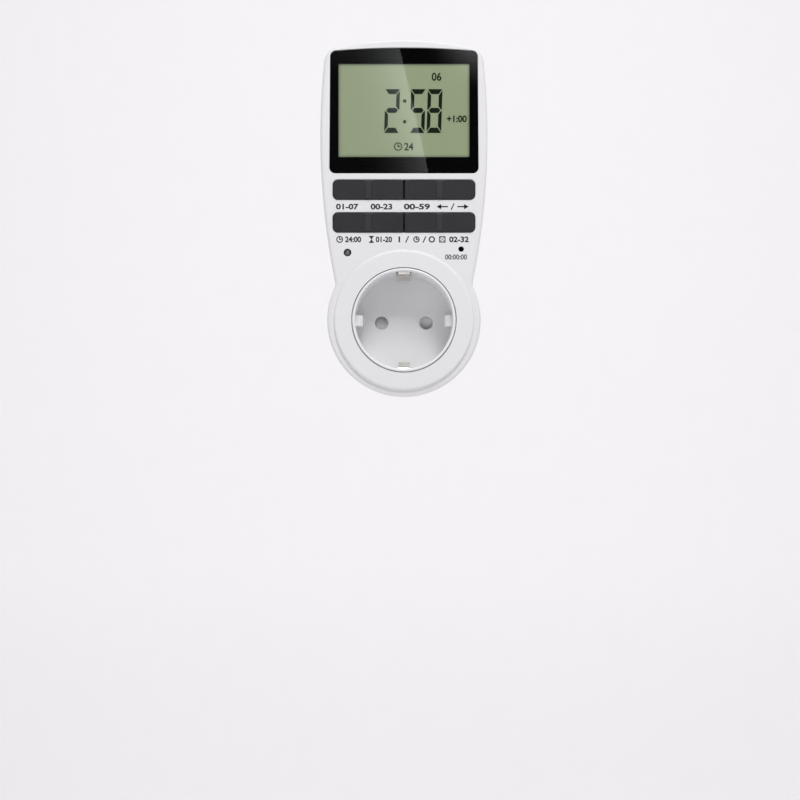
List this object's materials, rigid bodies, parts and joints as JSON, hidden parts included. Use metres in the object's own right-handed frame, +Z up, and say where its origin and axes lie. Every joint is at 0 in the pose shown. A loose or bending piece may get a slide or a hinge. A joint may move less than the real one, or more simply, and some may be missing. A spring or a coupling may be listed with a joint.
{
  "type": "plug in timer switch",
  "caption": "Plug in digital timer switch: a tall white housing with a display, dark rocker keys and a round earthed socket in front, and an earthed plug boss with two pins behind.",
  "frame": {"origin": "centre of the flat end face of the plug boss, between the two pins, where it meets the floor of a wall socket", "axes": "+Y along the plug pins, into the wall; +Z up along the tall housing; +X to the right seen from the front"},
  "size_m": [0.0686, 0.0797, 0.1468],
  "materials": {
    "white_shell": "fine satin moulded plastic, white",
    "white_collar": "satin white heat resistant plastic",
    "grey_keys": "soft touch dark grey key caps",
    "clear_lens": "clear glossy acrylic window",
    "black_mask": "black printed border behind the window",
    "display_glass": "grey green liquid crystal glass",
    "pale_plastic": "natural white plastic",
    "black_plastic": "black plastic",
    "contact_rubber": "striped conductive rubber",
    "board_green": "solder mask green, satin",
    "mat_rubber": "grey silicone",
    "light_lens": "unlit indicator light, smoky clear",
    "brass": "bare brass",
    "nickel": "nickel plated, satin bright",
    "zinc_steel": "zinc plated steel",
    "relay_case": "blue relay case",
    "capacitor_case": "yellow boxed film capacitor",
    "varistor_coat": "blue epoxy coating",
    "can_sleeve": "black shrink sleeve",
    "resistor_body": "tan lacquer",
    "ribbon_grey": "grey ribbon cable"
  },
  "bodies": {
    "housing": {"front_cover": "white_shell", "rear_cover": "white_shell", "plug_boss": "white_shell", "display_lens": "clear_lens", "display_mask": "black_mask", "display_glass": "display_glass", "display_holder": "black_plastic", "display_diffuser": "pale_plastic", "contact_strips": "contact_rubber", "display_board": "board_green", "keypad_mat": "mat_rubber", "indicator_light": "light_lens", "reset_switch": "black_plastic", "controller_chip": "black_plastic", "quartz_crystal": "nickel", "backup_cell": "nickel", "cell_tabs": "nickel", "ribbon_cable": "ribbon_grey", "power_board": "board_green", "relay": "relay_case", "film_capacitor": "capacitor_case", "varistor": "varistor_coat", "electrolytic_capacitor": "can_sleeve", "resistors_and_diodes": "resistor_body", "socket_collar": "white_collar", "socket_floor": "white_collar", "contact_carrier": "pale_plastic", "live_clip": "brass", "neutral_clip": "brass", "live_strip": "brass", "earth_spring": "nickel", "shutter_spring": "zinc_steel", "plug_pin_left": "nickel", "plug_pin_right": "nickel", "plug_earth_strip": "nickel", "earth_sleeve": "brass", "housing_screws": "zinc_steel", "carrier_screws": "zinc_steel", "display_board_screws": "zinc_steel", "power_board_screws": "zinc_steel"},
    "key_upper_left": {"key_upper_left": "grey_keys"},
    "key_upper_right": {"key_upper_right": "grey_keys"},
    "key_lower_left": {"key_lower_left": "grey_keys"},
    "key_lower_right": {"key_lower_right": "grey_keys"},
    "reset_plunger": {"reset_plunger": "black_plastic"},
    "shutter": {"shutter": "white_collar"}
  },
  "joints": [
    {"name": "key_upper_left_rock", "type": "hinge", "parent": "housing", "child": "key_upper_left", "pos_m": [-0.01463, -0.0557, 0.05335], "axis": [0, 0, 1], "range_deg": [-2.5, 2.5], "stiffness_Nm_per_rad": 0.33, "deforming": ["keypad_mat"]},
    {"name": "key_upper_right_rock", "type": "hinge", "parent": "housing", "child": "key_upper_right", "pos_m": [0.01463, -0.0557, 0.05335], "axis": [0, 0, 1], "range_deg": [-2.5, 2.5], "stiffness_Nm_per_rad": 0.33, "deforming": ["keypad_mat"]},
    {"name": "key_lower_left_rock", "type": "hinge", "parent": "housing", "child": "key_lower_left", "pos_m": [-0.01463, -0.0557, 0.03995], "axis": [0, 0, 1], "range_deg": [-2.5, 2.5], "stiffness_Nm_per_rad": 0.33, "deforming": ["keypad_mat"]},
    {"name": "key_lower_right_rock", "type": "hinge", "parent": "housing", "child": "key_lower_right", "pos_m": [0.01463, -0.0557, 0.03995], "axis": [0, 0, 1], "range_deg": [-2.5, 2.5], "stiffness_Nm_per_rad": 0.33, "deforming": ["keypad_mat"]},
    {"name": "reset_press", "type": "slide", "parent": "housing", "child": "reset_plunger", "axis": [0, 1, 0], "range_m": [0, 0.00025], "stiffness_N_per_m": 2000},
    {"name": "shutter_turn", "type": "hinge", "parent": "housing", "child": "shutter", "pos_m": [0, -0.0386, 0], "axis": [0, 1, 0], "range_deg": [0, 38], "stiffness_Nm_per_rad": 0.01, "deforming": ["shutter_spring"]}
  ]
}
